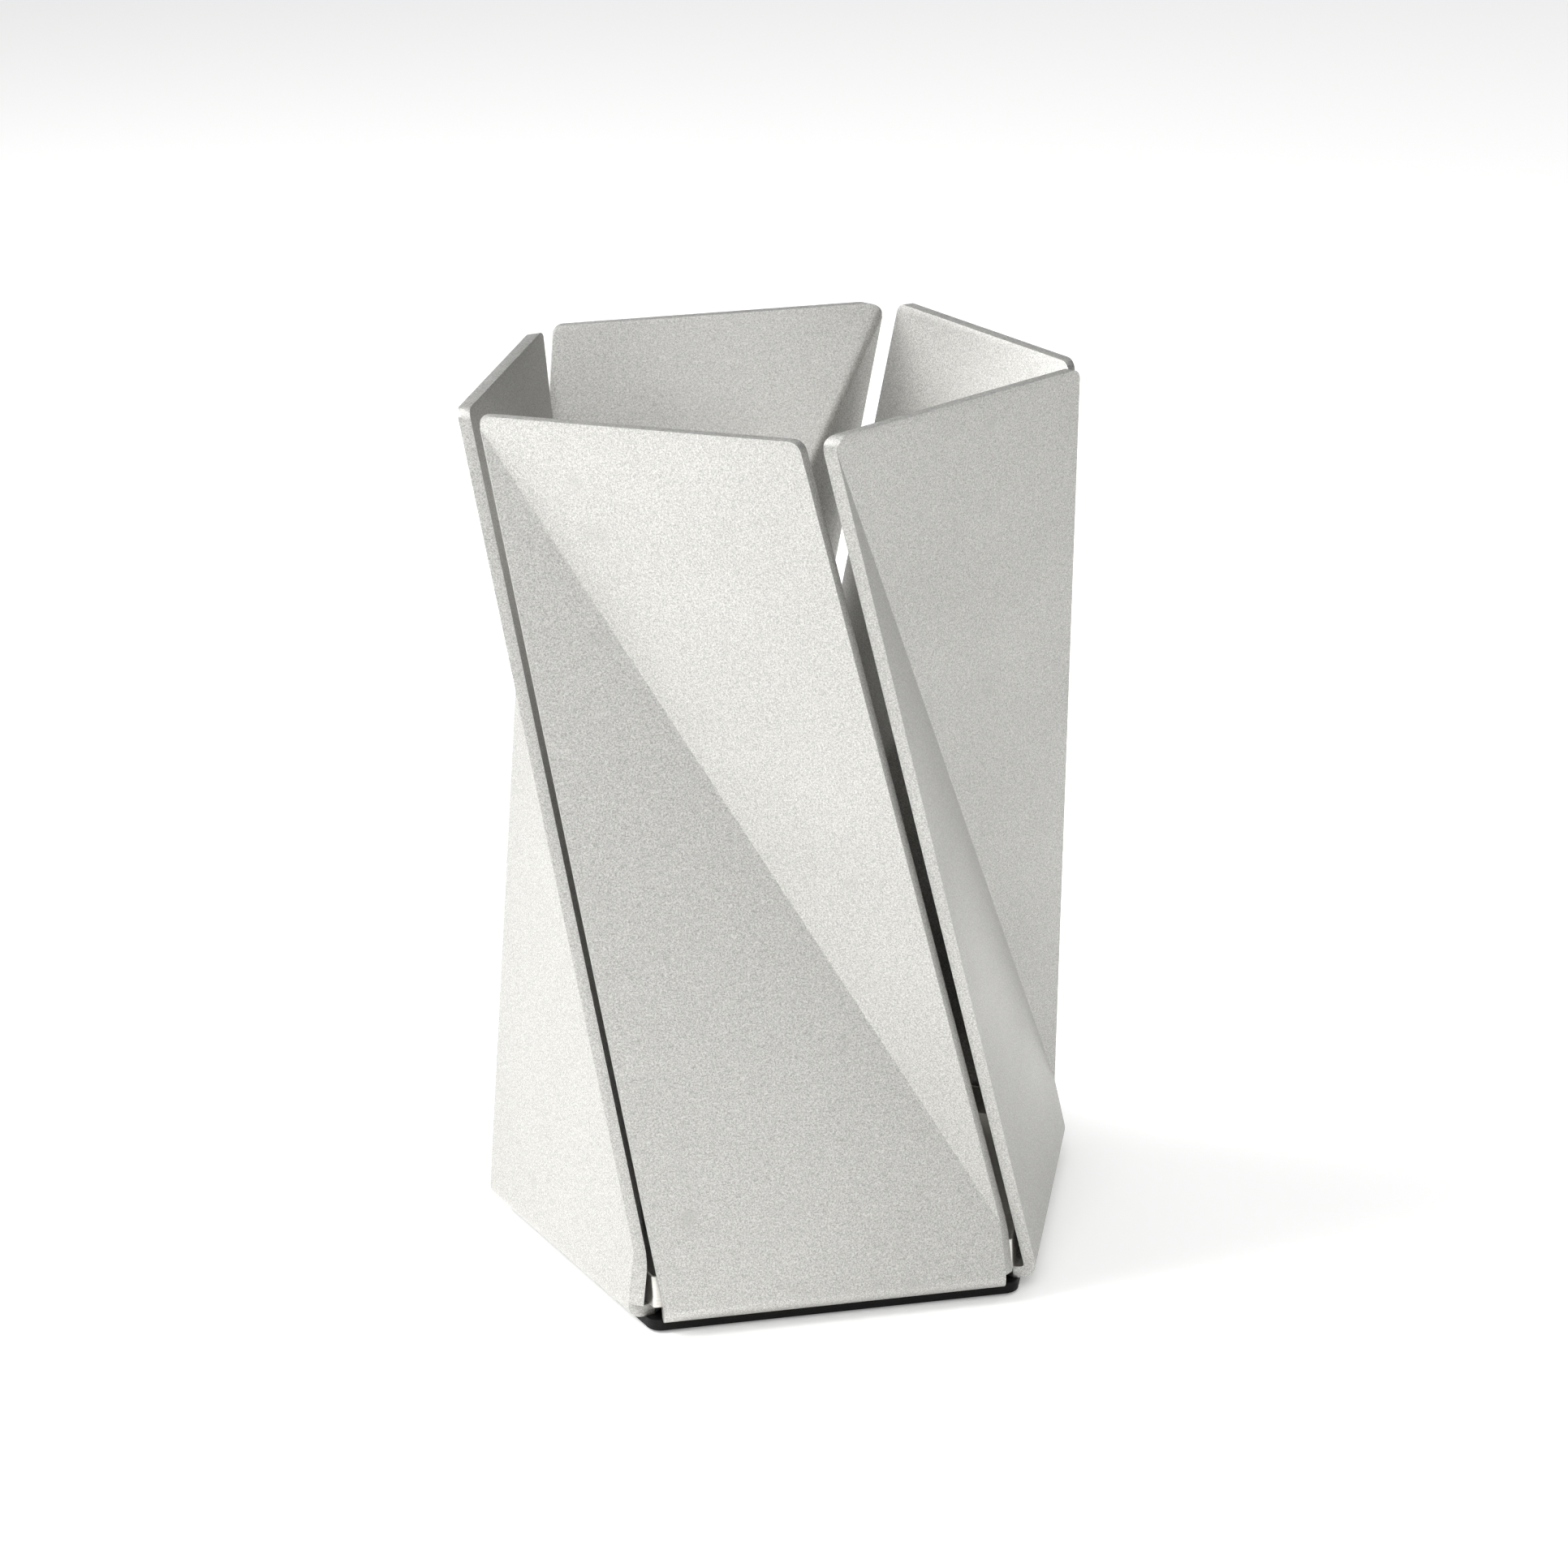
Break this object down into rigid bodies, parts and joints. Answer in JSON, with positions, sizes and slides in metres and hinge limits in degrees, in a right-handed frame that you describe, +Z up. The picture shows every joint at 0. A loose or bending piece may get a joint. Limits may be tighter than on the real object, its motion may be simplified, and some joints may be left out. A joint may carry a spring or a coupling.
{
  "type": "umbrella stand",
  "caption": "Open pentagonal umbrella stand made of folded metal plate leaves that twist to a narrow waist, on a flat base plate with a lift-out drip tray.",
  "frame": {"origin": "on the floor, on the axis of the ring of leaves; the box centre lies 1.3 mm off it along Y and 0.3 mm along X because the ring has five sides", "axes": "+Z up along the ring's axis; the foot of leaf_1 faces -Y and the other leaves follow anticlockwise seen from above"},
  "size_m": [0.3134, 0.3212, 0.4575],
  "materials": {
    "leaf_metal": "fine bead-blasted and clear anodised, satin grey with tiny bright specks",
    "base_coat": "fine matt black powder coat on steel plate",
    "screw_steel": "zinc-plated steel, satin",
    "pad_rubber": "matt black rubber",
    "pan_metal": "plain satin sheet",
    "tray_plastic": "moulded black plastic, fine spark-eroded matt"
  },
  "bodies": {
    "stand": {"leaf_1": "leaf_metal", "leaf_2": "leaf_metal", "leaf_3": "leaf_metal", "leaf_4": "leaf_metal", "leaf_5": "leaf_metal", "base_plate": "base_coat", "leaf_screws": "screw_steel", "floor_pan": "pan_metal", "foot_pad_1": "pad_rubber", "foot_pad_2": "pad_rubber", "foot_pad_3": "pad_rubber", "foot_pad_4": "pad_rubber", "foot_pad_5": "pad_rubber"},
    "tray": {"drip_tray": "tray_plastic"}
  },
  "joints": [
    {"name": "tray_lift", "type": "slide", "parent": "stand", "child": "tray", "axis": [0, 0, 1], "range_m": [0, 0.45]}
  ]
}
